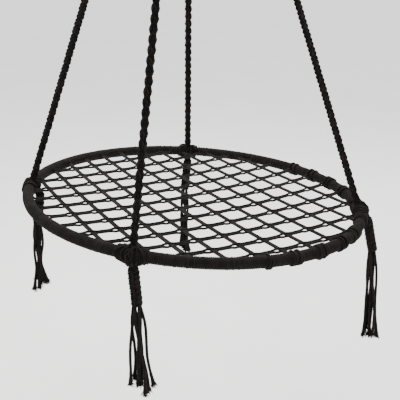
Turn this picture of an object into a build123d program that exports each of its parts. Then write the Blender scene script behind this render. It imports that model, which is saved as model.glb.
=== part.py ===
from build123d import *
from math import atan2, cos, degrees, radians, sin
import os

# A round nest swing: a wound hoop with a flat net, hung by four ropes from one steel ring.
# Millimetres, +Z up. The origin is where a hook bears on the inside of the ring's top.

# ---- driving dimensions ----
cord = 4.0                  # diameter of the cord that everything is knotted from
touch = 0.05                # gap between pieces that bear on each other
free_play = 0.3             # gap between pieces that move past each other

ring_inner_radius = 32.0    # hanging ring
ring_wire = 8.0             # diameter of its wire

loop_cord = 8.0             # each loop is half of one rope's cords
loop_spacing = 8.4          # from one loop to the next along the wire
loop_slack = (3.5, 1.2, 1.2, 3.5)    # room inside each loop, more where the wire curves up
crown_below_wire = 36.0     # wire centre to the centre of the crown knot
crown_radius = 22.0
crown_length = 50.0         # centre of the crown knot to the lower end of its whipping
rope_gather = 38.0          # ropes would meet this far above the whipping's lower end

rope_rise = 1113.6          # hoop centre to the point where the ropes would meet
rope_diameter = 14.0
rope_angles = {"left": 182.6, "front": 253.6, "back": 95.1, "right": -1.7}

hoop_outer_diameter = 800.0  # over the winding
tube_diameter = 18.0
tube_wall = 1.2
winding_build = 3.8         # one tight layer of cord
hoop_roll = -0.74           # the hoop hangs a little out of level, degrees about X
hoop_pitch = 4.45           # and about Y
knot_width = {"left": 50.0, "front": 66.0, "back": 54.0, "right": 54.0}

pair_gap = 0.3              # between the two cords of one net line
shortest_line = 200.0       # no net line is shorter than this
net_origin = (115.2, 77.4)  # a crossing near the middle of the net, in the hoop's plane
rising_step = (45.6, 46.3)  # from one crossing to the next along a rising line
falling_step = (36.0, -50.3)
net_skew = (1.05, -0.23)    # how the steps grow away from that crossing
rising_bend = (-0.28, 1.15)
falling_bend = (0.0, 0.43)

neck_diameter = 18.0
neck_reach = 27.5           # hoop section centre to a tassel's pivot
bunch_top_diameter = 20.0
bunch_top_drop = 7.0        # neck's end to the top of the loose ends
# pivot_tilt: degrees outward from straight below the hoop; the runs are (x, z)
tassels = {
    "left": {"pivot_tilt": -48.0, "neck": (-12.0, -72.0), "bunch": (-6.0, -184.0), "foot": 40.0},
    "front": {"pivot_tilt": 0.0, "neck": (5.0, -78.0), "bunch": (3.0, -204.0), "foot": 56.0},
    "back": {"pivot_tilt": 0.0, "neck": (-10.0, -84.0), "bunch": (-4.0, -204.0), "foot": 32.0},
    "right": {"pivot_tilt": 48.0, "neck": (17.0, -80.0), "bunch": (9.0, -245.0), "foot": 42.0},
}

# ---- what follows from them ----
tube_radius = tube_diameter / 2
wound_radius = tube_radius + winding_build
hoop_radius = hoop_outer_diameter / 2 - wound_radius
hitch_ring_radius = wound_radius + touch + cord / 2
hitch_outer = hitch_ring_radius + cord / 2
room_radius = hitch_outer + touch

ring_radius = ring_inner_radius + ring_wire / 2
ring_z = -ring_inner_radius
wire_z = ring_z - ring_radius
crown_z = wire_z - crown_below_wire
whipping_z = crown_z - crown_length
hoop_z = whipping_z + rope_gather - rope_rise

roll, pitch = radians(hoop_roll), radians(hoop_pitch)
hoop_plane = Plane(
    origin=(0, 0, hoop_z),
    x_dir=(cos(pitch), 0, -sin(pitch)),
    z_dir=(cos(roll) * sin(pitch), -sin(roll), cos(roll) * cos(pitch)),
)
hoop_axis = Axis(hoop_plane.origin, hoop_plane.z_dir)


def hoop_point(angle, radius=hoop_radius):
    """A point in the hoop's plane."""
    across = Vector(radius * cos(radians(angle)), radius * sin(radians(angle)), 0)
    return hoop_plane.from_local_coords(across)


def hoop_directions(angle):
    """Outward and along the hoop at an angle."""
    outward = (hoop_point(angle) - hoop_plane.origin).normalized()
    return outward, hoop_plane.z_dir.cross(outward)


def hoop_section(angle):
    """The plane that cuts the hoop across at an angle, X outward and Y along the hoop's axis."""
    outward, along = hoop_directions(angle)
    return Plane(origin=hoop_plane.origin, x_dir=outward, z_dir=-along)


def finish(builder, name):
    """Name a piece and write it."""
    builder.part.label = name
    export_step(builder.part, f"parts/{name}.step")


# ---- hanging ring ----
with BuildPart(Plane((0, 0, ring_z), x_dir=(1, 0, 0), z_dir=(0, 1, 0))) as hanging_ring:
    Torus(ring_radius, ring_wire / 2)
finish(hanging_ring, "hanging_ring")

# ---- rope loops round the ring's wire, resting on the crown knot ----
with BuildPart() as rope_loops:
    first_loop = -loop_spacing * (len(loop_slack) - 1) / 2
    for count, slack in enumerate(loop_slack):
        bend = ring_wire / 2 + slack + loop_cord / 2
        foot_z = crown_z + ring_wire / 2
        with BuildLine(Plane.YZ.offset(first_loop + count * loop_spacing)) as route:
            Line((-bend, foot_z), (-bend, wire_z))
            ThreePointArc((-bend, wire_z), (0, wire_z + bend), (bend, wire_z))
            Line((bend, wire_z), (bend, foot_z))
        with BuildSketch(Plane(origin=route.line @ 0, z_dir=route.line % 0)):
            Circle(loop_cord / 2)
        sweep(path=route.line)
    with Locations((0, 0, crown_z)):
        Sphere(crown_radius + free_play, mode=Mode.SUBTRACT)
finish(rope_loops, "rope_loops")

# ---- crown: a knot over the gathered ropes, bound with whipping ----
with BuildPart(Plane.XY.offset(crown_z)) as crown_knot:
    Sphere(crown_radius)
    split(bisect_by=Plane.XY.offset(crown_z), keep=Keep.TOP)
finish(crown_knot, "crown_knot")

with BuildPart() as crown_core:
    with BuildSketch(Plane.XY.offset(whipping_z)):
        Circle(crown_radius - cord)
    extrude(amount=crown_length - touch)
finish(crown_core, "crown_core")

with BuildPart() as crown_whipping:
    with BuildSketch(Plane.XY.offset(whipping_z)):
        Circle(crown_radius)
        Circle(crown_radius - cord + touch, mode=Mode.SUBTRACT)
    extrude(amount=crown_length - touch)
finish(crown_whipping, "crown_whipping")

# ---- hoop ----
with BuildPart(hoop_plane) as hoop_tube:
    Torus(hoop_radius, tube_radius)
    Torus(hoop_radius, tube_radius - tube_wall, mode=Mode.SUBTRACT)
finish(hoop_tube, "hoop_tube")

with BuildPart(hoop_plane) as hoop_winding:
    Torus(hoop_radius, wound_radius)
    Torus(hoop_radius, tube_radius + touch, mode=Mode.SUBTRACT)
finish(hoop_winding, "hoop_winding")

# the room that hitches and knots take round the hoop: cords and ropes end at its surface
with BuildPart(hoop_plane) as hitch_room:
    Torus(hoop_radius, room_radius)

# ---- knots and ropes ----
for side, angle in rope_angles.items():
    knot_angle = degrees(knot_width[side] / hoop_radius)
    with BuildPart() as hoop_knot:
        with BuildSketch(hoop_section(angle - knot_angle / 2)):
            with Locations((hoop_radius, 0)):
                Circle(hitch_outer)
                Circle(wound_radius + touch, mode=Mode.SUBTRACT)
        revolve(axis=hoop_axis, revolution_arc=knot_angle)
    finish(hoop_knot, f"hoop_knot_{side}")

    meeting_point = Vector(0, 0, hoop_z + rope_rise)
    rope_foot = hoop_point(angle)
    with BuildPart() as rope:
        with BuildSketch(Plane(origin=rope_foot, z_dir=meeting_point - rope_foot)):
            Circle(rope_diameter / 2)
        extrude(amount=(meeting_point - rope_foot).length)
        split(bisect_by=Plane.XY.offset(whipping_z - free_play), keep=Keep.BOTTOM)
        add(hitch_room.part, mode=Mode.SUBTRACT)
    finish(rope, f"rope_{side}")


# ---- net ----
def net_point(rising, falling):
    """Where the net's lines would cross, counted in steps from net_origin."""
    place = Vector(*net_origin)
    place += Vector(*rising_step) * rising + Vector(*falling_step) * falling
    place += Vector(*net_skew) * (rising * falling)
    return place + Vector(*rising_bend) * rising**2 + Vector(*falling_bend) * falling**2


def line_ends(place, reach):
    """The two counts at which a line of the net gets further than reach from the hoop's centre."""
    middle = min((count / 10 for count in range(-100, 101)), key=lambda at: place(at).length)
    ends = []
    for step in (-0.1, 0.1):
        inside = middle
        while place(inside + step).length < reach:
            inside += step
        outside = inside + step
        for _ in range(20):
            halfway = (inside + outside) / 2
            if place(halfway).length < reach:
                inside = halfway
            else:
                outside = halfway
        ends.append(inside)
    return ends


def net_line(family, row):
    """A line of the net as a function of the count along it."""
    if family == "rising":
        return lambda count: net_point(count, row)
    return lambda count: net_point(row, count)


def moved(place, shift):
    """The same line, moved aside."""
    return lambda count: place(count) + shift


def cord_route(place):
    """A net cord's points: it runs straight from one crossing to the next, and on into the hoop."""
    low, high = line_ends(place, hoop_radius - tube_radius)
    crossings = [count + 0.5 for count in range(-12, 12) if low + 0.4 < count + 0.5 < high - 0.4]
    return [place(count) for count in (low, *crossings, high)]


hitch_angles = []
net_reach = hoop_radius - room_radius
for family, level in (("rising", 1), ("falling", -1)):
    cord_plane = hoop_plane.offset(level * (cord + touch) / 2)
    number = 0
    for row in (count + 0.5 for count in range(-12, 12)):
        line = net_line(family, row)
        if min(line(count / 10).length for count in range(-100, 101)) > net_reach:
            continue
        start, end = (line(count) for count in line_ends(line, net_reach))
        if (end - start).length < shortest_line:
            continue
        number += 1
        aside = (end - start).cross(Vector(0, 0, 1)).normalized() * ((cord + pair_gap) / 2)
        with BuildPart() as net_cord:
            for shift in (aside, -aside):
                beside = moved(line, shift)
                corners = [cord_plane.from_local_coords(place) for place in cord_route(beside)]
                ahead = [(after - before).normalized() for before, after in zip(corners, corners[1:])]
                mitres = [one + other for one, other in zip([ahead[0], *ahead], [*ahead, ahead[-1]])]
                for count, direction in enumerate(ahead):
                    begin, end = corners[count : count + 2]
                    with BuildPart(mode=Mode.PRIVATE) as run:
                        with BuildSketch(Plane(origin=begin - direction * cord, z_dir=direction)):
                            Circle(cord / 2)
                        extrude(amount=(end - begin).length + 2 * cord)
                        split(bisect_by=Plane(origin=begin, z_dir=mitres[count]), keep=Keep.TOP)
                        split(bisect_by=Plane(origin=end, z_dir=mitres[count + 1]), keep=Keep.BOTTOM)
                        if count in (0, len(ahead) - 1):
                            add(hitch_room.part, mode=Mode.SUBTRACT)
                    add(run.part)
                for count in line_ends(beside, net_reach):
                    met = beside(count)
                    hitch_angles.append(degrees(atan2(met.Y, met.X)) % 360)
        finish(net_cord, f"net_cord_{family}_{number:02d}")


# ---- hitches: one turn of each net cord round the hoop, where no rope knot covers it ----
def clear_of_knots(angle):
    """Whether a turn at this angle misses every rope knot."""
    for side, knot_at in rope_angles.items():
        away = abs((angle - knot_at + 180) % 360 - 180)
        if radians(away) * hoop_radius < knot_width[side] / 2 + cord / 2 + touch:
            return False
    return True


hitch_places = []
turn_spacing = degrees((cord + touch) / hoop_radius)
for angle in sorted(hitch_angles):
    if clear_of_knots(angle) and (not hitch_places or angle - hitch_places[-1] > turn_spacing):
        hitch_places.append(angle)
with BuildPart() as net_hitches:
    with Locations(*[Plane(hoop_point(at), z_dir=hoop_directions(at)[1]) for at in hitch_places]):
        Torus(hitch_ring_radius, cord / 2)
finish(net_hitches, "net_hitches")

# ---- tassels ----
for side, tassel in tassels.items():
    outward, along = hoop_directions(rope_angles[side])
    tilt = radians(tassel["pivot_tilt"])
    pivot = hoop_point(rope_angles[side]) + outward * (neck_reach * sin(tilt))
    pivot -= Vector(0, 0, neck_reach * cos(tilt))
    neck_run = Vector(tassel["neck"][0], 0, tassel["neck"][1])
    neck_end = pivot + neck_run
    with BuildPart() as tassel_neck:
        with BuildSketch(Plane(origin=pivot, z_dir=neck_run)):
            Circle(neck_diameter / 2)
        extrude(amount=neck_run.length)
        with Locations(pivot, neck_end):
            Sphere(neck_diameter / 2)
    finish(tassel_neck, f"tassel_neck_{side}")

    bunch_run = Vector(tassel["bunch"][0], 0, tassel["bunch"][1])
    bunch_plane = Plane(origin=neck_end, z_dir=bunch_run)
    with BuildPart() as tassel_ends:
        with BuildSketch(bunch_plane.offset(bunch_top_drop)):
            Circle(bunch_top_diameter / 2)
        with BuildSketch(bunch_plane.offset(bunch_run.length)):
            Circle(tassel["foot"] / 2)
        loft()
        with Locations(neck_end):
            Sphere(neck_diameter / 2 + free_play, mode=Mode.SUBTRACT)
    finish(tassel_ends, f"tassel_ends_{side}")
    print(f"tassel {side}: pivot {tuple(pivot)}, neck end {tuple(neck_end)}, along {tuple(along)}")

print(f"hoop centre {hoop_z:.1f}, wire {wire_z:.1f}, crown {crown_z:.1f}, whipping end {whipping_z:.1f}")
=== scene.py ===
import math
import random

import bpy
from mathutils import Matrix, Vector


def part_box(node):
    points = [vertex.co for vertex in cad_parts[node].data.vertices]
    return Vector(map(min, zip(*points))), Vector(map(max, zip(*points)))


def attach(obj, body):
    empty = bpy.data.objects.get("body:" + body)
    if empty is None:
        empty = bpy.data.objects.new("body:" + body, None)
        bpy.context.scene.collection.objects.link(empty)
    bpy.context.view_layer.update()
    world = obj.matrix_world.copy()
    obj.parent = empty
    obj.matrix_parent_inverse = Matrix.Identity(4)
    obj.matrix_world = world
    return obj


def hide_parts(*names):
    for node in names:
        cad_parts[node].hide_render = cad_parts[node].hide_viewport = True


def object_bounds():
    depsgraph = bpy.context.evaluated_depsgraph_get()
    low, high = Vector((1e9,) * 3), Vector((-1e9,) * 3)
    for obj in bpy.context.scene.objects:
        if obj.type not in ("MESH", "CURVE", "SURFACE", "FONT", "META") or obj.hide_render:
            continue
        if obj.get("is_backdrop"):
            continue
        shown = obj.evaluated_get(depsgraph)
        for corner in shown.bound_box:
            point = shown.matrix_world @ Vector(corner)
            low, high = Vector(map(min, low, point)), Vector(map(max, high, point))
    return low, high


# The looks of the nest swing, in metres and +Z up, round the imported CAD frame. Every soft piece is
# cord that is laid strand by strand: strandsOnPath does the laying, and the rest gives it routes.
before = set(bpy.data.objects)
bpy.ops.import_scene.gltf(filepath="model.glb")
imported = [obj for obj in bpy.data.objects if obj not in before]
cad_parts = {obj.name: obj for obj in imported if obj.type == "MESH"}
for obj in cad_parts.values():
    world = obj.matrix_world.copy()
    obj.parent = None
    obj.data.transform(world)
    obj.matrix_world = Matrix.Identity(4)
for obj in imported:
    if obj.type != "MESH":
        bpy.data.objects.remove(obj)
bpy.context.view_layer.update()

# ---------- camera ----------
cameraValues = {
    "place": (0.0639, -1.7504, -0.6020),
    "azimuth": 1.73,
    "down": 20.01,
    "roll": -0.42,
    "lens": 70.67,
}


def addObject(name, data):
    added = bpy.data.objects.new(name, data)
    bpy.context.scene.collection.objects.link(added)
    return added


def addCamera(values):
    azimuth, down, roll = (math.radians(values[key]) for key in ("azimuth", "down", "roll"))
    ahead = Vector(
        (-math.sin(azimuth) * math.cos(down), math.cos(azimuth) * math.cos(down), -math.sin(down))
    )
    right = Vector((math.cos(azimuth), math.sin(azimuth), 0))
    up = right.cross(ahead)
    rightRolled = right * math.cos(roll) + up * math.sin(roll)
    upRolled = up * math.cos(roll) - right * math.sin(roll)
    data = bpy.data.cameras.new("camera")
    data.lens = values["lens"]
    data.sensor_width = 36
    data.clip_start = 0.02
    camera = addObject("camera", data)
    turned = Matrix((rightRolled, upRolled, -ahead)).transposed().to_4x4()
    camera.matrix_world = Matrix.Translation(values["place"]) @ turned
    bpy.context.scene.camera = camera


addCamera(cameraValues)
print("camera set")


# ---------- node helpers ----------
def put(tree, kind, inputs=(), **settings):
    node = tree.nodes.new(kind)
    for name, value in settings.items():
        setattr(node, name, value)
    for key, value in dict(inputs).items():
        if isinstance(value, bpy.types.NodeSocket):
            tree.links.new(value, node.inputs[key])
        else:
            node.inputs[key].default_value = value
    return node


def calc(tree, operation, *values):
    return put(tree, "ShaderNodeMath", dict(enumerate(values)), operation=operation).outputs[0]


def calcVector(tree, operation, *values):
    node = put(tree, "ShaderNodeVectorMath", dict(enumerate(values)), operation=operation)
    return node.outputs["Value" if operation in ("DOT_PRODUCT", "LENGTH") else "Vector"]


def scaleVector(tree, vector, factor):
    node = put(tree, "ShaderNodeVectorMath", {0: vector, "Scale": factor}, operation="SCALE")
    return node.outputs["Vector"]


def addVectors(tree, first, *others):
    total = first
    for other in others:
        total = calcVector(tree, "ADD", total, other)
    return total


# ---------- materials ----------
def ramp(tree, factor, stops):
    node = put(tree, "ShaderNodeValToRGB", {"Fac": factor})
    while len(node.color_ramp.elements) < len(stops):
        node.color_ramp.elements.new(0.5)
    for element, (position, colour) in zip(node.color_ramp.elements, stops):
        element.position = position
        element.color = (*colour, 1) if len(colour) == 3 else (colour[0],) * 3 + (1,)
    return node.outputs["Color"]


def noiseAt(tree, coords, scale, detail, roughness=0.5):
    values = {"Vector": coords, "Scale": scale, "Detail": detail, "Roughness": roughness}
    return put(tree, "ShaderNodeTexNoise", values).outputs["Fac"]


def newMaterial(name):
    material = bpy.data.materials.new(name)
    material.use_nodes = True
    tree = material.node_tree
    tree.nodes.clear()
    shader = put(tree, "ShaderNodeBsdfPrincipled")
    put(tree, "ShaderNodeOutputMaterial", {"Surface": shader.outputs["BSDF"]})
    return material, tree, shader


cordLook = {
    "darkest": (0.0012, 0.0012, 0.0013),
    "middle": (0.0042, 0.0036, 0.0034),
    "faded": (0.015, 0.0120, 0.0105),
    "carriers": 6,
    "plaitPitch": 0.0042,
    "plaitHeight": 0.00035,
    "fibreHeight": 0.00012,
    "fibreScale": 1400.0,
    "wearScale": 38.0,
    "toneShare": 0.22,
    "wearShare": 0.62,
    # painted shade: how much darker the grooves between the plait's yarns are painted
    "plaitGrooveShadeShare": 0.16,
    "fibreShare": 0.14,
    "shine": 0.09,
    "sheen": 0.012,
    "sheenTint": (0.80, 0.72, 0.66, 1),
}


def cordMaterial(name, values):
    # a plaited sheath: two families of yarns round the cord, read from the strand's own attributes;
    # in the colour the plait also paints shade into the grooves between yarns
    material, tree, shader = newMaterial(name)
    around = put(tree, "ShaderNodeAttribute", attribute_name="around").outputs["Vector"]
    parts = put(tree, "ShaderNodeSeparateXYZ", {0: around}).outputs
    turn = calc(tree, "ARCTAN2", parts["Y"], parts["X"])
    advance = calc(tree, "MULTIPLY", parts["Z"], math.tau / values["plaitPitch"])
    yarns = calc(tree, "MULTIPLY", turn, values["carriers"])
    waves = []
    for operation in ("ADD", "SUBTRACT"):
        wave = calc(tree, "SINE", calc(tree, operation, yarns, advance))
        waves.append(calc(tree, "ABSOLUTE", wave))
    plait = calc(tree, "MAXIMUM", *waves)
    coords = put(tree, "ShaderNodeTexCoord").outputs["Object"]
    fibre = noiseAt(tree, coords, values["fibreScale"], detail=4.0, roughness=0.7)
    wear = noiseAt(tree, coords, values["wearScale"], detail=6.0, roughness=0.62)
    tone = put(tree, "ShaderNodeAttribute", attribute_name="strandTone").outputs["Fac"]
    mixed = calc(tree, "MULTIPLY", wear, values["wearShare"])
    # the plait's part darkens the grooves between yarns and lightens their crests: painted shade in
    # the grooves
    for part, share in ((tone, "toneShare"), (plait, "plaitGrooveShadeShare"), (fibre, "fibreShare")):
        mixed = calc(tree, "MULTIPLY_ADD", part, values[share], mixed)
    colour = ramp(
        tree, mixed, ((0.28, values["darkest"]), (0.56, values["middle"]), (0.86, values["faded"]))
    )
    tree.links.new(colour, shader.inputs["Base Color"])
    rough = ramp(tree, calc(tree, "MULTIPLY", plait, fibre), ((0.1, (0.92,)), (0.7, (0.66,))))
    tree.links.new(rough, shader.inputs["Roughness"])
    shader.inputs["Specular IOR Level"].default_value = values["shine"]
    shader.inputs["Sheen Weight"].default_value = values["sheen"]
    shader.inputs["Sheen Roughness"].default_value = 0.45
    shader.inputs["Sheen Tint"].default_value = values["sheenTint"]
    plaitBump = put(
        tree,
        "ShaderNodeBump",
        {"Height": plait, "Distance": values["plaitHeight"], "Strength": 0.9},
    )
    fibreBump = put(
        tree,
        "ShaderNodeBump",
        {
            "Height": fibre,
            "Distance": values["fibreHeight"],
            "Strength": 0.8,
            "Normal": plaitBump.outputs["Normal"],
        },
    )
    tree.links.new(fibreBump.outputs["Normal"], shader.inputs["Normal"])
    return material


steelLook = {
    "bright": (0.27, 0.28, 0.29),
    "dull": (0.15, 0.155, 0.16),
    "stain": (0.07, 0.065, 0.06),
}
tubeLook = {
    "bright": (0.11, 0.10, 0.10),
    "dull": (0.06, 0.06, 0.06),
    "stain": (0.03, 0.02, 0.02),
}


def steelMaterial(name, values, grain):
    material, tree, shader = newMaterial(name)
    coords = put(tree, "ShaderNodeTexCoord").outputs["Object"]
    stretched = put(tree, "ShaderNodeMapping", {"Vector": coords, "Scale": grain}).outputs["Vector"]
    lines = noiseAt(tree, stretched, scale=90.0, detail=8.0, roughness=0.7)
    blotch = noiseAt(tree, coords, scale=55.0, detail=5.0)
    both = calc(tree, "MULTIPLY_ADD", lines, 0.5, calc(tree, "MULTIPLY", blotch, 0.5))
    colour = ramp(
        tree, both, ((0.3, values["stain"]), (0.44, values["dull"]), (0.66, values["bright"]))
    )
    tree.links.new(colour, shader.inputs["Base Color"])
    tree.links.new(ramp(tree, both, ((0.3, (0.6,)), (0.7, (0.24,)))), shader.inputs["Roughness"])
    shader.inputs["Metallic"].default_value = 1.0
    bump = put(tree, "ShaderNodeBump", {"Height": lines, "Distance": 0.0001, "Strength": 0.5})
    tree.links.new(bump.outputs["Normal"], shader.inputs["Normal"])
    return material


cordBlack = cordMaterial("cordBlack", cordLook)
steelBright = steelMaterial("steelBright", steelLook, (1.0, 14.0, 1.0))
steelDull = steelMaterial("steelDull", tubeLook, (3.0, 3.0, 20.0))
print("materials made")


# ---------- geometry trees ----------
# Lay is the run of one full turn. Bead and Flare are shares of Width and Depth, Side is the
# direction that Width lies along, and Face turns it round the path.
strandDefaults = {
    "Strands": 1,
    "Group": 1,
    "Group Spread": 0.0,
    "Width": 0.0,
    "Depth": 0.0,
    "Lay": 1.0,
    "Waves": 1.0,
    "Bead": 0.0,
    "Bead Pitch": 1.0,
    "Side": (0.0, 0.0, 1.0),
    "Face": 0.0,
    "Face Turn": 0.0,
    "Flare": 0.0,
    "Flare Length": 0.03,
    "Wobble": 0.0,
    "Radius": 0.002,
    "Sides": 8,
    "Spacing": 0.004,
    "Seed": 1,
    "Material": cordBlack,
}
fibreDefaults = {
    "Fibres": 1,
    "Fibre Length": 0.01,
    "Spread": 0.5,
    "Curl": 0.0,
    "Radius": 0.0005,
    "Sides": 3,
    "Seed": 1,
    "Material": cordBlack,
}
socketKinds = {int: "Int", float: "Float", tuple: "Vector", bpy.types.Material: "Material"}
noiseMiddle = (0.5, 0.5, 0.5)


def newTree(name, defaults):
    # its inputs are a geometry and the values in defaults
    tree = bpy.data.node_groups.new(name, "GeometryNodeTree")
    kinds = {label: socketKinds[type(value)] for label, value in defaults.items()}
    labels = {}
    for label, kind in {"Geometry": "Geometry", **kinds}.items():
        socket = tree.interface.new_socket(label, in_out="INPUT", socket_type=f"NodeSocket{kind}")
        labels[label] = socket.identifier
    tree.interface.new_socket("Geometry", in_out="OUTPUT", socket_type="NodeSocketGeometry")
    given = tree.nodes.new("NodeGroupInput").outputs
    return tree, given, labels


def endTree(tree, geometry, given):
    smooth = put(tree, "GeometryNodeSetShadeSmooth", {"Geometry": geometry})
    real = put(tree, "GeometryNodeRealizeInstances", {"Geometry": smooth.outputs[0]})
    painted = put(
        tree,
        "GeometryNodeSetMaterial",
        {"Geometry": real.outputs[0], "Material": given["Material"]},
    )
    put(tree, "NodeGroupOutput", {0: painted.outputs[0]})


def capture(tree, geometry, fields):
    node = put(tree, "GeometryNodeCaptureAttribute", domain="POINT")
    for label, (kind, _) in fields.items():
        node.capture_items.new(kind, label)
    tree.links.new(geometry, node.inputs["Geometry"])
    for label, (_, source) in fields.items():
        tree.links.new(source, node.inputs[label])
    return node.outputs["Geometry"], node.outputs


def tubesAlong(tree, curves, given, extra):
    # sweeps round cords along the curves and stores where each surface point is on its cord
    profile = put(
        tree,
        "GeometryNodeCurvePrimitiveCircle",
        {"Resolution": given["Sides"], "Radius": given["Radius"]},
    ).outputs[0]
    share = put(tree, "GeometryNodeSplineParameter").outputs["Factor"]
    angle = calc(tree, "MULTIPLY", share, math.tau)
    cosine, sine = calc(tree, "COSINE", angle), calc(tree, "SINE", angle)
    profile, shape = capture(tree, profile, {"cosine": ("FLOAT", cosine), "sine": ("FLOAT", sine)})
    along = put(tree, "GeometryNodeSplineParameter").outputs["Length"]
    curves, line = capture(tree, curves, {"along": ("FLOAT", along), **extra})
    tube = put(
        tree,
        "GeometryNodeCurveToMesh",
        {"Curve": curves, "Profile Curve": profile, "Fill Caps": True},
    ).outputs[0]
    around = put(
        tree, "ShaderNodeCombineXYZ", {0: shape["cosine"], 1: shape["sine"], 2: line["along"]}
    ).outputs[0]
    tube = put(
        tree,
        "GeometryNodeStoreNamedAttribute",
        {"Geometry": tube, "Name": "around", "Value": around},
        data_type="FLOAT_VECTOR",
        domain="POINT",
    ).outputs[0]
    return put(
        tree,
        "GeometryNodeStoreNamedAttribute",
        {"Geometry": tube, "Name": "strandTone", "Value": line["tone"]},
        data_type="FLOAT",
        domain="POINT",
    ).outputs[0]


def crossDirections(tree, given):
    # the two directions across a path: towards Side, and square to it
    tangent = put(tree, "GeometryNodeInputTangent").outputs[0]
    lean = calcVector(tree, "DOT_PRODUCT", given["Side"], tangent)
    side = calcVector(tree, "SUBTRACT", given["Side"], scaleVector(tree, tangent, lean))
    side = calcVector(tree, "NORMALIZE", side)
    return side, calcVector(tree, "CROSS_PRODUCT", tangent, side)


def strandPhase(tree, given, run, index):
    # how far each strand has turned; the strands of one group lie side by side
    group = calc(tree, "FLOOR", calc(tree, "DIVIDE", index, given["Group"]))
    first = calc(tree, "MULTIPLY", group, given["Group"])
    member = calc(tree, "SUBTRACT", index, first)
    start = calc(tree, "MULTIPLY", calc(tree, "DIVIDE", first, given["Strands"]), math.tau)
    start = calc(tree, "MULTIPLY_ADD", member, given["Group Spread"], start)
    turned = calc(tree, "DIVIDE", calc(tree, "MULTIPLY", run, math.tau), given["Lay"])
    return calc(tree, "ADD", turned, start)


def strandSwell(tree, given, run):
    # beads where the strands bulge between crossings, and a flare at the path's start
    beadPhase = calc(tree, "DIVIDE", calc(tree, "MULTIPLY", run, math.pi), given["Bead Pitch"])
    lobe = calc(tree, "ABSOLUTE", calc(tree, "COSINE", beadPhase))
    lobe = calc(tree, "MULTIPLY_ADD", lobe, 2.0, -1.2)  # from -1.2 at a crossing to 0.8
    swell = calc(tree, "MULTIPLY_ADD", lobe, given["Bead"], 1.0)
    flare = put(
        tree,
        "ShaderNodeMapRange",
        {
            "Value": run,
            "From Min": 0.0,
            "From Max": given["Flare Length"],
            "To Min": given["Flare"],
            "To Max": 0.0,
        },
        interpolation_type="SMOOTHSTEP",
    ).outputs[0]
    return calc(tree, "MULTIPLY", swell, calc(tree, "ADD", flare, 1.0))


def turnedByFace(tree, across, deep, face):
    cosine, sine = calc(tree, "COSINE", face), calc(tree, "SINE", face)
    first = [calc(tree, "MULTIPLY", *pair) for pair in ((across, cosine), (deep, sine))]
    second = [calc(tree, "MULTIPLY", *pair) for pair in ((across, sine), (deep, cosine))]
    return calc(tree, "SUBTRACT", *first), calc(tree, "ADD", *second)


def shaken(tree, given, scale, detail, amount):
    # a smooth random shift of each point
    place = put(tree, "GeometryNodeInputPosition").outputs[0]
    noise = put(
        tree,
        "ShaderNodeTexNoise",
        {"Vector": place, "W": given["Seed"], "Scale": scale, "Detail": detail},
        noise_dimensions="4D",
    ).outputs["Color"]
    return scaleVector(tree, calcVector(tree, "SUBTRACT", noise, noiseMiddle), amount)


def strandsTree():
    # strands that wind, twist or plait round a path
    tree, given, labels = newTree("strandsOnPath", strandDefaults)
    even = put(
        tree,
        "GeometryNodeResampleCurve",
        {"Curve": given["Geometry"], "Length": given["Spacing"]},
        mode="LENGTH",
    ).outputs[0]
    side, out = crossDirections(tree, given)
    along = put(tree, "GeometryNodeSplineParameter").outputs["Length"]
    fields = {"side": ("VECTOR", side), "out": ("VECTOR", out), "run": ("FLOAT", along)}
    even, kept = capture(tree, even, fields)
    copies = put(
        tree,
        "GeometryNodeDuplicateElements",
        {"Geometry": even, "Amount": given["Strands"]},
        domain="SPLINE",
    )
    index = copies.outputs["Duplicate Index"]
    phase = strandPhase(tree, given, kept["run"], index)
    swell = strandSwell(tree, given, kept["run"])
    across = calc(tree, "MULTIPLY", calc(tree, "SINE", phase), given["Width"])
    across = calc(tree, "MULTIPLY", across, swell)
    deep = calc(tree, "COSINE", calc(tree, "MULTIPLY", phase, given["Waves"]))
    deep = calc(tree, "MULTIPLY", calc(tree, "MULTIPLY", deep, given["Depth"]), swell)
    face = calc(tree, "MULTIPLY_ADD", kept["run"], given["Face Turn"], given["Face"])
    onSide, onOut = turnedByFace(tree, across, deep, face)
    offset = addVectors(
        tree,
        scaleVector(tree, kept["side"], onSide),
        scaleVector(tree, kept["out"], onOut),
        shaken(tree, given, scale=45.0, detail=2.0, amount=given["Wobble"]),
    )
    moved = put(
        tree, "GeometryNodeSetPosition", {"Geometry": copies.outputs["Geometry"], "Offset": offset}
    ).outputs[0]
    tone = put(
        tree, "FunctionNodeRandomValue", {"ID": index, "Seed": given["Seed"]}, data_type="FLOAT"
    ).outputs[1]
    endTree(tree, tubesAlong(tree, moved, given, {"tone": ("FLOAT", tone)}), given)
    return tree, labels


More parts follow.
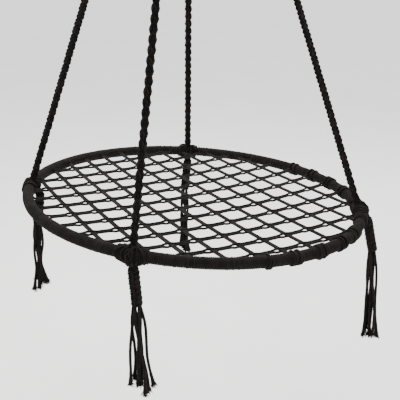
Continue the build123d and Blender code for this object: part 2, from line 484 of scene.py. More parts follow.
def fibresTree():
    # loose fibres that spread from points along each point's heading
    tree, given, labels = newTree("looseFibres", fibreDefaults)
    copies = put(
        tree,
        "GeometryNodeDuplicateElements",
        {"Geometry": given["Geometry"], "Amount": given["Fibres"]},
        domain="POINT",
    ).outputs[0]
    heading = put(
        tree, "GeometryNodeInputNamedAttribute", {"Name": "heading"}, data_type="FLOAT_VECTOR"
    ).outputs[0]
    low, high = (-1.0, -1.0, -1.0), (1.0, 1.0, 1.0)
    scatter = put(
        tree,
        "FunctionNodeRandomValue",
        {0: low, 1: high, "Seed": given["Seed"]},
        data_type="FLOAT_VECTOR",
    ).outputs[0]
    aim = addVectors(tree, heading, scaleVector(tree, scatter, given["Spread"]))
    turn = put(tree, "FunctionNodeAlignRotationToVector", {"Vector": aim}, axis="Z").outputs[0]
    size = put(
        tree, "FunctionNodeRandomValue", {2: 0.35, 3: 1.0, "Seed": given["Seed"]}, data_type="FLOAT"
    ).outputs[1]
    reach = put(tree, "ShaderNodeCombineXYZ", {2: given["Fibre Length"]}).outputs[0]
    fibre = put(tree, "GeometryNodeCurvePrimitiveLine", {"End": reach}).outputs[0]
    fibre = put(
        tree, "GeometryNodeResampleCurve", {"Curve": fibre, "Count": 5}, mode="COUNT"
    ).outputs[0]
    planted = put(
        tree,
        "GeometryNodeInstanceOnPoints",
        {"Points": copies, "Instance": fibre, "Rotation": turn, "Scale": size},
    ).outputs[0]
    planted = put(tree, "GeometryNodeRealizeInstances", {"Geometry": planted}).outputs[0]
    share = put(tree, "GeometryNodeSplineParameter").outputs["Factor"]
    bend = calc(tree, "MULTIPLY", calc(tree, "MULTIPLY", share, share), given["Curl"])
    offset = shaken(tree, given, scale=90.0, detail=1.0, amount=bend)
    curled = put(
        tree, "GeometryNodeSetPosition", {"Geometry": planted, "Offset": offset}
    ).outputs[0]
    endTree(tree, tubesAlong(tree, curled, given, {"tone": ("FLOAT", share)}), given)
    return tree, labels


strands = strandsTree()
fibres = fibresTree()
print("geometry trees made")


def evaluated(holder):
    view = bpy.context.evaluated_depsgraph_get()
    return bpy.data.meshes.new_from_object(
        holder.evaluated_get(view), preserve_all_data_layers=True, depsgraph=view
    )


def grow(name, source, treeAndLabels, values):
    # runs a tree on a curve or point mesh and keeps the plain mesh
    tree, labels = treeAndLabels
    holder = addObject(name + "Source", source)
    modifier = holder.modifiers.new("tree", "NODES")
    modifier.node_group = tree
    for label, value in values.items():
        modifier[labels[label]] = value
    holder.update_tag()
    mesh = evaluated(holder)
    holder.modifiers.remove(modifier)
    bpy.data.objects.remove(holder)
    mesh.name = name
    return addObject(name, mesh)


def pathCurve(name, routes, cyclic=False, kind="POLY"):
    data = bpy.data.curves.new(name, "CURVE")
    data.dimensions = "3D"
    for route in routes:
        spline = data.splines.new(kind)
        spline.points.add(len(route) - 1)
        for point, place in zip(spline.points, route):
            point.co = (*place, 1)
        spline.use_cyclic_u = cyclic
    return data


# eight strands in four pairs that cross and recross: the braid of ropes, bridges and necks
braidPattern = {"Strands": 8, "Group": 2, "Waves": 3.0}


def growStrands(name, routes, cyclic=False, **values):
    labelled = {label.replace("_", " "): value for label, value in values.items()}
    return grow(name, pathCurve(name, routes, cyclic), strands, {**strandDefaults, **labelled})


def growFibres(name, points, **values):
    labelled = {label.replace("_", " "): value for label, value in values.items()}
    return grow(name, points, fibres, {**fibreDefaults, **labelled})


def joined(name, pieces):
    # one mesh from several, so that a knot stays one piece
    for other in bpy.context.selected_objects:
        other.select_set(False)
    for piece in pieces:
        piece.select_set(True)
    bpy.context.view_layer.objects.active = pieces[0]
    bpy.ops.object.join()
    pieces[0].name = name
    pieces[0].data.name = name
    return pieces[0]


def smoothRoute(name, places):
    # the points of a NURBS line through the places, close together
    data = pathCurve(name, [places], kind="NURBS")
    data.splines[0].resolution_u = 12
    data.splines[0].order_u = 3
    data.splines[0].use_endpoint_u = True
    holder = addObject(name, data)
    mesh = evaluated(holder)
    route = [vertex.co.copy() for vertex in mesh.vertices]
    bpy.data.objects.remove(holder)
    bpy.data.meshes.remove(mesh)
    return route


def routeLength(route):
    return sum((b - a).length for a, b in zip(route, route[1:]))


# ---------- the hoop's own frame ----------
def boxOf(node):
    low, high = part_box(node)
    return Vector(low), Vector(high)


hoopValues = {
    "radius": 0.3872,
    "roll": -0.74,
    "pitch": 4.45,
    "cordRadius": 0.00215,
    "windingCentre": 0.0108,
    "turnPitch": 0.0041,
}
low, high = boxOf("hoop_tube")
hoopCentre = (low + high) / 2
hoopRoll, hoopPitch = math.radians(hoopValues["roll"]), math.radians(hoopValues["pitch"])
hoopUp = Vector(
    (
        math.cos(hoopRoll) * math.sin(hoopPitch),
        -math.sin(hoopRoll),
        math.cos(hoopRoll) * math.cos(hoopPitch),
    )
)
hoopX = Vector((math.cos(hoopPitch), 0, -math.sin(hoopPitch)))
hoopY = hoopUp.cross(hoopX)


def inHoop(x, y, z=0.0):
    return hoopCentre + hoopX * x + hoopY * y + hoopUp * z


def outwardAt(angle):
    return hoopX * math.cos(angle) + hoopY * math.sin(angle)


def alongAt(angle):
    return hoopUp.cross(outwardAt(angle))


def roundHoop(angle, section, reach):
    # a point round the hoop's section: 0 outward, a quarter turn up
    outward = outwardAt(angle)
    middle = hoopCentre + outward * hoopValues["radius"]
    return middle + outward * (reach * math.cos(section)) + hoopUp * (reach * math.sin(section))


# ---------- winding ----------
def addWinding(values):
    corners = 240
    circle = [
        hoopCentre + outwardAt(math.tau * count / corners) * values["radius"]
        for count in range(corners)
    ]
    circumference = math.tau * values["radius"]
    turns = round(circumference / values["turnPitch"])
    winding = growStrands(
        "hoopWinding",
        [circle],
        cyclic=True,
        Width=values["windingCentre"],
        Depth=values["windingCentre"],
        Lay=circumference / turns,
        Side=tuple(hoopUp),
        Radius=values["cordRadius"],
        Spacing=values["turnPitch"] / 12,
        Seed=4,
    )
    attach(winding, "seat")
    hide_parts("hoop_winding")


addWinding(hoopValues)
print("hoop wound")

# ---------- net ----------
netValues = {
    "origin": (0.1152, 0.0774),
    "risingStep": (0.0456, 0.0463),
    "fallingStep": (0.0360, -0.0503),
    "skew": (0.00105, -0.00023),
    "risingBend": (-0.00028, 0.00115),
    "fallingBend": (0.0, 0.00043),
    "cordRadius": 0.0025,
    "pairGap": 0.0002,
    "shortest": 0.200,
    "eye": 0.0011,
    "eyeBefore": 0.17,
    "eyeLength": 0.10,
    "eyeLift": 0.0021,
    "eyeLiftShare": 0.85,
    "crossingLength": 0.10,
    "edgeGap": 0.0016,
    "hitchReach": 0.0145,
    "hitchTurns": 1.75,
    "smoothFrom": 55,
    "smoothTo": 292,
    "smoothReach": 0.0109,
    "smoothTurns": 1.1,
    "hitchStep": 2.05,
    "hitchWave": 0.02,
    "hitchTuck": 0.0034,
    "tuckFrom": 0.86,
    "hitchGap": 0.0005,
    "knotMargin": 0.003,
    "underKnotReach": 0.011,
    "stagger": 0.0005,
    "spacing": 0.0042,
    "loosen": {"rising": 0.0006, "falling": 0.0002},
}
knotValues = {
    "left": {"angle": 182.6, "width": 0.050, "bridge": -1},
    "front": {"angle": 253.6, "width": 0.066, "bridge": 1},
    "back": {"angle": 95.1, "width": 0.054, "bridge": -1},
    "right": {"angle": -1.7, "width": 0.054, "bridge": 1},
}


def netPoint(values, rising, falling):
    flat = Vector(values["origin"])
    flat += Vector(values["risingStep"]) * rising + Vector(values["fallingStep"]) * falling
    flat += Vector(values["skew"]) * (rising * falling)
    flat += Vector(values["risingBend"]) * rising**2
    return flat + Vector(values["fallingBend"]) * falling**2


def lineEnds(line, reach):
    middle = min((count / 10 for count in range(-100, 101)), key=lambda at: line(at).length)
    ends = []
    for step in (-0.1, 0.1):
        inside = middle
        while line(inside + step).length < reach:
            inside += step
        outside = inside + step
        for _ in range(20):
            halfway = (inside + outside) / 2
            if line(halfway).length < reach:
                inside = halfway
            else:
                outside = halfway
        ends.append(inside)
    return ends


def underKnot(values, angle):
    for knot in knotValues.values():
        away = (angle - math.radians(knot["angle"]) + math.pi) % math.tau - math.pi
        if abs(away) * hoopValues["radius"] < knot["width"] / 2 + values["knotMargin"]:
            return True
    return False


def hitchRoute(values, met, side, slope, phase):
    # from the net, round the hoop and tucked under itself
    angle = math.atan2(met.y, met.x)
    if underKnot(values, angle):
        return [roundHoop(angle, math.pi, values["underKnotReach"])]
    route = []
    smooth = values["smoothFrom"] < math.degrees(angle) % 360 < values["smoothTo"]
    turns = values["smoothTurns" if smooth else "hitchTurns"]
    reach = values["smoothReach" if smooth else "hitchReach"]
    steps = round(turns * 14)
    drift = side * (values["hitchStep"] * values["cordRadius"]) / hoopValues["radius"]
    for count in range(1, steps + 1):
        share = count / steps
        turn = math.pi - slope * math.tau * turns * share
        past = max(0.0, share - values["tuckFrom"])
        settled = reach - values["hitchTuck"] * past / (1 - values["tuckFrom"])
        wave = 1 + values["hitchWave"] * math.sin(5 * turn + phase)
        route.append(roundHoop(angle + drift * turns * share, turn, settled * wave))
    return route


def netLine(values, family, row):
    if family == "rising":
        return lambda at: netPoint(values, at, row)
    return lambda at: netPoint(values, row, at)


def pairedCord(values, family, line, aside, side, phase):
    # one cord of a line's pair: its place in the hoop's plane, and its lift off that plane
    half = values["cordRadius"] + values["pairGap"] / 2

    def cordAt(at):
        apart = half
        lift = -side * values["stagger"] if family == "rising" else 0.0
        before = at % 1.0 - 0.5
        near = math.exp(-((before / values["crossingLength"]) ** 2))
        if family == "rising":
            # the pair parts into an eye, one cord over and one under the crossing pair
            parted = math.exp(-(((before + values["eyeBefore"]) / values["eyeLength"]) ** 2))
            apart += values["eye"] * parted
            lift -= side * values["eyeLift"] * max(near, parted * values["eyeLiftShare"])
        slack = 0.5 + 0.5 * math.sin(2.3 * at + phase)
        apart += values["loosen"][family] * slack * (1 - near)
        return line(at) + aside * (side * apart), lift

    return cordAt


def pairRoutes(values, family, line, heading, reach, chance):
    # both cords of a line, each with a hitch round the hoop at its two ends
    aside = Vector((heading.y, -heading.x))
    routes = []
    for side in (1, -1):
        phase = chance.uniform(0, math.tau)
        cordAt = pairedCord(values, family, line, aside, side, phase)
        start, end = lineEnds(lambda at: cordAt(at)[0], reach)
        count = max(20, round((end - start) * 14))
        places = [cordAt(start + (end - start) * share / count) for share in range(count + 1)]
        middle = [inHoop(flat.x, flat.y, lift) for flat, lift in places]
        slope = 1 if chance.random() < 0.5 else -1
        lead = hitchRoute(values, places[0][0], side, slope, phase)
        tail = hitchRoute(values, places[-1][0], -side, -slope, phase)
        routes.append(lead[::-1] + middle + tail)
    return routes


def addNet(values):
    chance = random.Random(11)
    reach = hoopValues["radius"] - values["hitchReach"] - values["hitchGap"]
    for family in ("rising", "falling"):
        number = 0
        for row in (count + 0.5 for count in range(-12, 12)):
            line = netLine(values, family, row)
            nearest = min(line(count / 10).length for count in range(-100, 101))
            if nearest > reach - values["edgeGap"]:
                continue
            first, last = lineEnds(line, reach)
            chord = line(last) - line(first)
            if chord.length < values["shortest"]:
                continue
            number += 1
            routes = pairRoutes(values, family, line, chord.normalized(), reach, chance)
            name = f"netCord{family.title()}{number:02d}"
            cords = growStrands(
                name, routes, Radius=values["cordRadius"], Spacing=values["spacing"], Seed=number
            )
            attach(cords, "seat")
            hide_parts(f"net_cord_{family}_{number:02d}")
            if family == "rising" and number == 1:
                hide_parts("net_hitches")


addNet(netValues)
print("net laced")

# ---------- ropes ----------
ropeLook = {
    "left": {"pitch": 0.0175, "face": 0.3, "faceTurn": 0.9, "bead": 0.26, "flare": 0.2},
    "front": {"pitch": 0.0200, "face": 0.0, "faceTurn": 0.15, "bead": 0.27, "flare": 0.2},
    "back": {"pitch": 0.0200, "face": 0.0, "faceTurn": 0.3, "bead": 0.34, "flare": 0.15},
    "right": {"pitch": 0.0210, "face": 0.2, "faceTurn": 1.5, "bead": 0.26, "flare": 0.2},
}
ropeShape = {
    "rise": 1.1136,
    "width": 0.0053,
    "depth": 0.0039,
    "strandRadius": 0.0025,
    "fillerRadius": 0.0033,
    "spread": 0.62,
    "diameter": 0.014,
    "wobble": 0.0016,
    "flareLength": 0.035,
    "startReach": 0.0135,
    "endGap": 0.0003,
}


def addRopes(shape):
    whippingEnd = boxOf("crown_whipping")[0].z
    meeting = hoopCentre + Vector((0, 0, shape["rise"]))
    for seed, (side, look) in enumerate(ropeLook.items()):
        angle = math.radians(knotValues[side]["angle"])
        middle = hoopCentre + outwardAt(angle) * hoopValues["radius"]
        ahead = (meeting - middle).normalized()
        foot = middle + ahead * shape["startReach"]
        top = middle + ahead * ((whippingEnd - shape["endGap"] - middle.z) / ahead.z)
        count = 8
        places = [foot.lerp(top, step / count) for step in range(count + 1)]
        route = smoothRoute(f"rope{side}", places)
        braid = growStrands(
            f"braid{side}",
            [route],
            **braidPattern,
            Group_Spread=shape["spread"],
            Width=shape["width"],
            Depth=shape["depth"],
            Lay=look["pitch"] * 4,
            Bead=look["bead"],
            Bead_Pitch=look["pitch"],
            Side=(1.0, 0.1, 0.0),
            Face=look["face"],
            Face_Turn=look["faceTurn"],
            Flare=look["flare"],
            Flare_Length=shape["flareLength"],
            Wobble=shape["wobble"],
            Radius=shape["strandRadius"],
            Spacing=0.0022,
            Seed=seed + 20,
        )
        filler = growStrands(
            f"filler{side}", [route], Radius=shape["fillerRadius"], Sides=10, Spacing=0.01
        )
        rope = joined(f"rope{side.title()}", [braid, filler])
        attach(rope, "seat")
        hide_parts(f"rope_{side}")
        tuple(route[0])
        routeLength(route)
        [tuple(place) for place in route]
        print(f"rope {side}: {routeLength(route):.3f} m")


addRopes(ropeShape)

# ---------- knots on the hoop ----------
knotShape = {
    "wrapReach": 0.01495,
    "cordRadius": 0.00205,
    "claws": 5,
    "clawReach": 0.0168,
    "clawRadius": 0.0021,
    "clawShift": 0.07,
    "clawSpread": 0.94,
    "clawLean": 0.10,
    "clawWave": 0.0012,
    "clawLift": 0.0035,
    "clawLiftFrom": 0.8,
    "clawLiftLength": 0.2,
    "turnPitch": 0.0042,
    "bridgeReach": 0.0178,
    "bridgeLift": 0.003,
    "bridgeSpread": 0.62,
    "bridgeWidth": 0.0064,
    "bridgeDepth": 0.0030,
    "bridgeLay": 0.07,
    "bridgeBead": 0.2,
    "bridgeBeadPitch": 0.0175,
    "bridgeStrand": 0.0019,
}
tasselValues = {
    "left": {
        "tilt": -48.0,
        "neck": (-0.012, -0.072),
        "bunch": (-0.006, -0.184),
        "foot": 0.040,
        "shortest": 0.74,
        "pinch": 0.5,
    },
    "front": {
        "tilt": 0.0,
        "neck": (0.005, -0.078),
        "bunch": (0.003, -0.204),
        "foot": 0.056,
        "shortest": 0.86,
        "pinch": 0.0,
    },
    "back": {
        "tilt": 0.0,
        "neck": (-0.010, -0.084),
        "bunch": (-0.004, -0.204),
        "foot": 0.032,
        "shortest": 0.85,
        "pinch": 0.1,
    },
    "right": {
        "tilt": 48.0,
        "neck": (0.017, -0.080),
        "bunch": (0.009, -0.245),
        "foot": 0.042,
        "shortest": 0.88,
        "pinch": 0.0,
    },
}
neckReach = 0.0275


def pivotOf(side):
    angle = math.radians(knotValues[side]["angle"])
    tilt = math.radians(tasselValues[side]["tilt"])
    outward = outwardAt(angle)
    middle = hoopCentre + outward * hoopValues["radius"]
    sideways = outward * (neckReach * math.sin(tilt))
    return middle + sideways - Vector((0, 0, neckReach * math.cos(tilt)))


def bridgeRoute(shape, angle, pivot, neckTurn, way):
    # the rope's own strands, which pass one side of the hoop into the neck
    finish = neckTurn if way > 0 else neckTurn + math.tau
    start = math.pi / 2 - way * 0.25
    route = []
    for step in range(15):
        share = step / 14
        reach = shape["bridgeReach"] + shape["bridgeLift"] * share * share
        route.append(roundHoop(angle, start + (finish - start) * share, reach))
    return route[:-2] + [route[-2].lerp(pivot, 0.5), pivot]


def clawRoutes(shape, angle, spread, neckTurn, pivot, chance):
    # cords that fan out over the wraps, from the hoop's top down both its sides into the neck
    routes = []
    for way in (1, -1):
        startTurn = math.pi / 2
        endTurn = neckTurn if way > 0 else neckTurn + math.tau
        if way > 0 and endTurn > startTurn:
            endTurn -= math.tau
        if way < 0 and endTurn < startTurn:
            endTurn += math.tau
        for claw in range(shape["claws"]):
            off = (claw - (shape["claws"] - 1) / 2) / (shape["claws"] - 1) * 2
            off += chance.uniform(-shape["clawShift"], shape["clawShift"])
            off = off * spread * shape["clawSpread"]
            lean = shape["clawLean"] * off * (1 if claw % 2 else -1)
            route = []
            for step in range(25):
                share = step / 24
                turn = startTurn + (endTurn - startTurn) * share
                fan = math.sin(math.pi * min(1.0, 0.06 + share * 0.94)) ** 0.75
                reach = shape["clawReach"] + shape["clawWave"] * math.sin(3 * turn + claw)
                past = max(0.0, share - shape["clawLiftFrom"])
                reach += shape["clawLift"] * past / shape["clawLiftLength"]
                route.append(roundHoop(angle + off * fan + lean * (1 - fan), turn, reach))
            route.append(route[-1].lerp(pivot, 0.9))
            routes.append(route)
    return routes


def addKnots(shape):
    for seed, (side, knot) in enumerate(knotValues.items()):
        chance = random.Random(31 + seed)
        angle = math.radians(knot["angle"])
        half = knot["width"] / 2 / hoopValues["radius"]
        inset = shape["cordRadius"] / hoopValues["radius"]
        arc = [
            roundHoop(angle - half + inset + (half - inset) * 2 * step / 30, 0, 0)
            for step in range(31)
        ]
        wraps = growStrands(
            f"wraps{side}",
            [arc],
            Width=shape["wrapReach"],
            Depth=shape["wrapReach"],
            Lay=shape["turnPitch"],
            Side=tuple(hoopUp),
            Radius=shape["cordRadius"],
            Spacing=shape["turnPitch"] / 16,
            Wobble=0.0008,
            Seed=seed + 40,
        )
        pivot = pivotOf(side)
        down = pivot - roundHoop(angle, 0, 0)
        neckTurn = math.atan2(down.dot(hoopUp), down.dot(outwardAt(angle)))
        routes = clawRoutes(shape, angle, half - inset, neckTurn, pivot, chance)
        claws = growStrands(
            f"claws{side}",
            routes,
            Radius=shape["clawRadius"],
            Spacing=0.0035,
            Seed=seed + 50,
            Wobble=0.0012,
        )
        bridge = growStrands(
            f"bridge{side}",
            [bridgeRoute(shape, angle, pivot, neckTurn, knot["bridge"])],
            **braidPattern,
            Group_Spread=shape["bridgeSpread"],
            Width=shape["bridgeWidth"],
            Depth=shape["bridgeDepth"],
            Lay=shape["bridgeLay"],
            Bead=shape["bridgeBead"],
            Bead_Pitch=shape["bridgeBeadPitch"],
            Side=tuple(alongAt(angle)),
            Radius=shape["bridgeStrand"],
            Spacing=0.002,
            Seed=seed + 55,
        )
        piece = joined(f"hoopKnot{side.title()}", [wraps, claws, bridge])
        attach(piece, "seat")
        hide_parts(f"hoop_knot_{side}")


addKnots(knotShape)
print("knots tied")

# ---------- tassels ----------
neckShape = {
    "width": 0.0083,
    "depth": 0.0071,
    "strandRadius": 0.0024,
    "lay": 0.044,
    "coreRadius": 0.0066,
    "spread": 0.6,
    "bead": 0.17,
    "faceStep": 0.3,
    "taper": -0.6,
    "taperLength": 0.016,
    "pastTop": 0.009,
    "pastEnd": 0.003,
    "bindReach": 0.0088,
    "bindRadius": 0.0021,
    "turnPitch": 0.0042,
    "endTurns": 3,
    "endBind": 0.013,
    "topTurns": 1.6,
}
bunchShape = {
    "cords": 9,
    "yarns": 4,
    "yarnReach": 0.0018,
    "yarnRadius": 0.00155,
    "lay": 0.026,
    "diameter": 0.0067,
    "topReach": 0.0056,
    "spreads": (0.97, 0.6, 0.95, 0.35, 0.97, 0.75, 0.9, 0.5, 0.2),
    "start": 0.02,
    "pinchAt": 0.62,
    "pinchLength": 0.16,
    "sway": 0.0024,
    "openEnd": 1.25,
    "openLength": 0.026,
    "knotReach": 0.0020,
    "knotRadius": 0.0018,
    "knotLength": 0.009,
    "fibres": 100,
    "fibreLength": 0.017,
    "fibreRadius": 0.00048,
    "fibreSpread": 0.5,
    "fibreCurl": 0.016,
    "fibresBack": 0.008,
}


def addNecks(shape):
    for seed, side in enumerate(tasselValues):
        pivot = pivotOf(side)
        run = Vector((tasselValues[side]["neck"][0], 0, tasselValues[side]["neck"][1]))
        ahead = run.normalized()
        begin, finish = pivot - ahead * shape["pastTop"], pivot + run + ahead * shape["pastEnd"]
        route = [begin.lerp(finish, step / 12) for step in range(13)]
        plait = growStrands(
            f"plait{side}",
            [route],
            **braidPattern,
            Group_Spread=shape["spread"],
            Width=shape["width"],
            Depth=shape["depth"],
            Lay=shape["lay"],
            Bead=shape["bead"],
            Bead_Pitch=shape["lay"] / 4,
            Side=(1.0, 0.0, 0.0),
            Face=shape["faceStep"] * seed,
            Flare=shape["taper"],
            Flare_Length=shape["taperLength"],
            Radius=shape["strandRadius"],
            Spacing=0.0018,
            Wobble=0.0014,
            Seed=seed + 60,
        )
        core = growStrands(
            f"core{side}", [route[2:]], Radius=shape["coreRadius"], Sides=16, Spacing=0.006
        )
        binds = []
        neckEnd = pivot + run - ahead * shape["endBind"]
        for place, turns in ((neckEnd, shape["endTurns"]), (pivot, shape["topTurns"])):
            length = turns * shape["turnPitch"]
            binds.append([place + ahead * (length * step / 6) for step in range(7)])
        bind = growStrands(
            f"bind{side}",
            binds,
            Width=shape["bindReach"],
            Depth=shape["bindReach"],
            Lay=shape["turnPitch"],
            Side=(1.0, 0.0, 0.0),
            Radius=shape["bindRadius"],
            Spacing=shape["turnPitch"] / 16,
            Wobble=0.001,
            Seed=seed + 70,
        )
        neck = joined(f"tasselNeck{side.title()}", [plait, core, bind])
        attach(neck, f"tassel_{side}")
        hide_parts(f"tassel_neck_{side}")


def tasselCordRoute(shape, side, number, chance):
    # from inside the neck's end, down and outward, a little wavy
    tassel = tasselValues[side]
    neckEnd = pivotOf(side) + Vector((tassel["neck"][0], 0, tassel["neck"][1]))
    run = Vector((tassel["bunch"][0], 0, tassel["bunch"][1]))
    ahead = run.normalized()
    across = Vector((1, 0, 0)) - ahead * ahead.x
    across.normalize()
    deep = ahead.cross(across)
    turn = math.tau * (number + chance.uniform(-0.2, 0.2)) / shape["cords"]
    outer = tassel["foot"] / 2 - shape["diameter"] / 2
    wide = outer * shape["spreads"][number]
    reach = chance.uniform(tassel["shortest"], 0.97)
    places = []
    for step in range(7):
        share = step / 6
        spread = shape["topReach"] + (wide - shape["topReach"]) * share**0.6
        past = (share - shape["pinchAt"]) / shape["pinchLength"]
        spread *= 1 - tassel["pinch"] * math.exp(-(past**2))
        turned = turn + 0.5 * math.sin(share * 3.1 + number)
        out = across * math.cos(turned) + deep * math.sin(turned)
        sway = shape["sway"] * math.sin(7 * share + 2 * number)
        down = run * (shape["start"] + (reach - shape["start"]) * share)
        places.append(neckEnd + down + out * spread + across * sway)
    return smoothRoute(f"line{side}{number}", places)


def addTasselCord(shape, side, number, seed, route):
    cord = growStrands(
        f"tasselEnd{side.title()}{number + 1}",
        [route[::-1]],
        Strands=shape["yarns"],
        Width=shape["yarnReach"],
        Depth=shape["yarnReach"],
        Lay=shape["lay"],
        Flare=shape["openEnd"],
        Flare_Length=shape["openLength"],
        Side=(1.0, 0.0, 0.0),
        Radius=shape["yarnRadius"],
        Sides=7,
        Spacing=0.0028,
        Wobble=0.0012,
        Seed=seed * 10 + number,
    )
    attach(cord, f"tassel_{side}_ends")
    if number == 0:
        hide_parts(f"tassel_ends_{side}")
    tuple(route[0])
    routeLength(route)
    [tuple(place) for place in route]


def addFray(shape, side, seed, routes):
    # a small knot near each cord's cut end, and the loose fibres past it
    tips = [route[-1] for route in routes]
    headings = [(route[-1] - route[-4]).normalized() for route in routes]
    starts = [tip - heading * shape["fibresBack"] for tip, heading in zip(tips, headings)]
    points = bpy.data.meshes.new(f"tips{side}")
    points.from_pydata(starts, [], [])
    stored = points.attributes.new("heading", "FLOAT_VECTOR", "POINT")
    for number, heading in enumerate(headings):
        stored.data[number].vector = heading
    fray = growFibres(
        f"fray{side.title()}",
        points,
        Fibres=shape["fibres"],
        Fibre_Length=shape["fibreLength"],
        Spread=shape["fibreSpread"],
        Curl=shape["fibreCurl"],
        Radius=shape["fibreRadius"],
        Seed=seed + 5,
    )
    ends = growStrands(
        f"endKnots{side}",
        [[route[-1 - back] for back in (8, 6, 4, 2)] for route in routes],
        Strands=3,
        Width=shape["knotReach"],
        Depth=shape["knotReach"],
        Lay=shape["knotLength"],
        Side=(1.0, 0.0, 0.0),
        Radius=shape["knotRadius"],
        Sides=7,
        Spacing=0.0008,
        Wobble=0.002,
        Seed=seed + 7,
    )
    fray = joined(f"fray{side.title()}", [fray, ends])
    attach(fray, f"tassel_{side}_ends")


def addBunches(shape):
    for seed, side in enumerate(tasselValues):
        chance = random.Random(81 + seed)
        routes = []
        for number in range(shape["cords"]):
            route = tasselCordRoute(shape, side, number, chance)
            addTasselCord(shape, side, number, seed, route)
            routes.append(route)
        addFray(shape, side, seed, routes)


addNecks(neckShape)
addBunches(bunchShape)
print("tassels hung")

# ---------- crown and loops ----------
crownShape = {
    "radius": 0.022,
    "cordRadius": 0.0021,
    "domeCords": 14,
    "domeCordRadius": 0.0027,
    "domeInside": 0.0045,
    "domeWave": 0.0007,
    "turnPitch": 0.0042,
    "loopBends": (0.0115, 0.0092, 0.0092, 0.0115),
    "loopSpacing": 0.0084,
    "loopWidth": 0.0024,
    "loopLay": 0.034,
    "loopStrand": 0.0016,
    "loopStraight": 0.012,
    "loopPast": 0.002,
    "wireRadius": 0.004,
}


def addCrown(shape):
    low, high = boxOf("crown_whipping")
    first = Vector((0, 0, low.z + shape["cordRadius"]))
    last = Vector((0, 0, high.z - shape["cordRadius"]))
    whip = growStrands(
        "crownWhipping",
        [[first.lerp(last, step / 10) for step in range(11)]],
        Width=shape["radius"] - shape["cordRadius"],
        Depth=shape["radius"] - shape["cordRadius"],
        Lay=shape["turnPitch"],
        Side=(1.0, 0.0, 0.0),
        Radius=shape["cordRadius"],
        Spacing=shape["turnPitch"] / 22,
        Seed=91,
    )
    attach(whip, "crown")
    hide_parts("crown_whipping")
    centre = boxOf("crown_knot")[0].z
    routes = []
    for number in range(shape["domeCords"]):
        begin = math.tau * number / shape["domeCords"]
        route = []
        for step in range(17):
            share = step / 16
            height = math.radians(84 * (1 - share) + 2)
            turn = begin + 1.5 * share
            wave = shape["domeWave"] * math.sin(6 * share + number)
            reach = shape["radius"] - shape["domeCordRadius"] + wave
            flat = reach * math.cos(height)
            up = centre + reach * math.sin(height)
            route.append(Vector((flat * math.cos(turn), flat * math.sin(turn), up)))
        routes.append(route)
    cords = growStrands("domeCords", routes, Radius=shape["domeCordRadius"], Spacing=0.003, Seed=92)
    bpy.ops.mesh.primitive_uv_sphere_add(
        segments=40, ring_count=20, radius=shape["radius"] - shape["domeInside"], location=(0, 0, 0)
    )
    dome = bpy.context.object
    dome.data.transform(Matrix.Translation((0, 0, centre + 0.0005)))
    dome.data.materials.append(cordBlack)
    knot = joined("crownKnot", [cords, dome])
    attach(knot, "crown")
    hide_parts("crown_knot")


def addLoops(shape):
    wire = boxOf("hanging_ring")[0].z + shape["wireRadius"]
    foot = boxOf("rope_loops")[0].z - shape["loopPast"]
    routes = []
    for count, bend in enumerate(shape["loopBends"]):
        x = (count - 1.5) * shape["loopSpacing"]
        low = wire - shape["loopStraight"]
        route = [Vector((x, -bend, foot)), Vector((x, -bend, low))]
        for step in range(17):
            turn = math.pi - math.pi * step / 16
            route.append(Vector((x, bend * math.cos(turn), wire + bend * math.sin(turn))))
        route += [Vector((x, bend, low)), Vector((x, bend, foot))]
        routes.append(route)
    loops = growStrands(
        "ropeLoops",
        routes,
        Strands=5,
        Width=shape["loopWidth"],
        Depth=shape["loopWidth"],
        Lay=shape["loopLay"],
        Side=(1.0, 0.0, 0.0),
        Radius=shape["loopStrand"],
        Spacing=0.0016,
        Seed=93,
    )
    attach(loops, "loops")
    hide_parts("rope_loops")


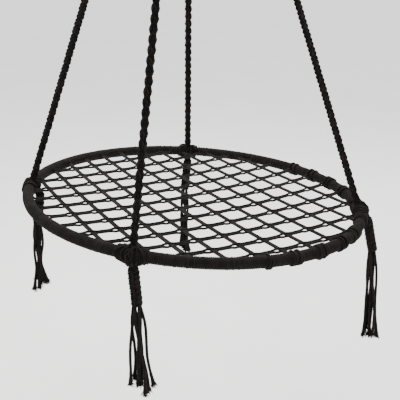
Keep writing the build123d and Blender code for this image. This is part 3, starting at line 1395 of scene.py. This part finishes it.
addCrown(crownShape)
addLoops(crownShape)
for nodeName, material in (
    ("hanging_ring", steelBright),
    ("hoop_tube", steelDull),
    ("crown_core", cordBlack),
):
    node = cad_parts[nodeName]
    node.data.materials.clear()
    node.data.materials.append(material)
print("crown tied")

# ---------- floor and light ----------
stageValues = {
    "floorBelow": 0.45,
    "size": 40.0,
    "floorDark": (0.90, 0.90, 0.90),
    "floorPale": (0.94, 0.94, 0.94),
    "worldStrength": 1.7,
}
lightValues = {
    "keyLight": {
        "place": (-1.2, 0.9, 1.3),
        "power": 110.0,
        "size": 1.6,
        "colour": (1.0, 0.96, 0.91),
    },
    "fillLight": {
        "place": (2.2, -1.2, 0.0),
        "power": 14.0,
        "size": 2.0,
        "colour": (0.95, 0.97, 1.0),
    },
    "backLight": {
        "place": (0.9, 2.2, 0.7),
        "power": 50.0,
        "size": 2.0,
        "colour": (1.0, 1.0, 1.0),
    },
}


def addStage(values):
    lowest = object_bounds()[0][2]
    material, tree, shader = newMaterial("floorPale")
    coords = put(tree, "ShaderNodeTexCoord").outputs["Object"]
    grain = noiseAt(tree, coords, scale=3.0, detail=6.0)
    pale = ramp(tree, grain, ((0.3, values["floorDark"]), (0.7, values["floorPale"])))
    tree.links.new(pale, shader.inputs["Base Color"])
    shader.inputs["Roughness"].default_value = 0.9
    bpy.ops.mesh.primitive_plane_add(
        size=values["size"], location=(0, 0, lowest - values["floorBelow"])
    )
    floor = bpy.context.object
    floor.name = "floor"
    floor.data.materials.append(material)
    floor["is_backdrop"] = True
    world = bpy.data.worlds.new("studio")
    bpy.context.scene.world = world
    world.use_nodes = True
    background = world.node_tree.nodes["Background"]
    background.inputs["Color"].default_value = (1, 1, 1, 1)
    background.inputs["Strength"].default_value = values["worldStrength"]


def addLights(lights):
    for name, values in lights.items():
        data = bpy.data.lights.new(name, "AREA")
        data.energy = values["power"]
        data.size = values["size"]
        data.color = values["colour"]
        light = addObject(name, data)
        light.location = values["place"]
        aim = Vector((0, 0, hoopCentre.z)) - Vector(values["place"])
        light.rotation_euler = aim.to_track_quat("-Z", "Y").to_euler()


addStage(stageValues)
addLights(lightValues)
print("stage lit")
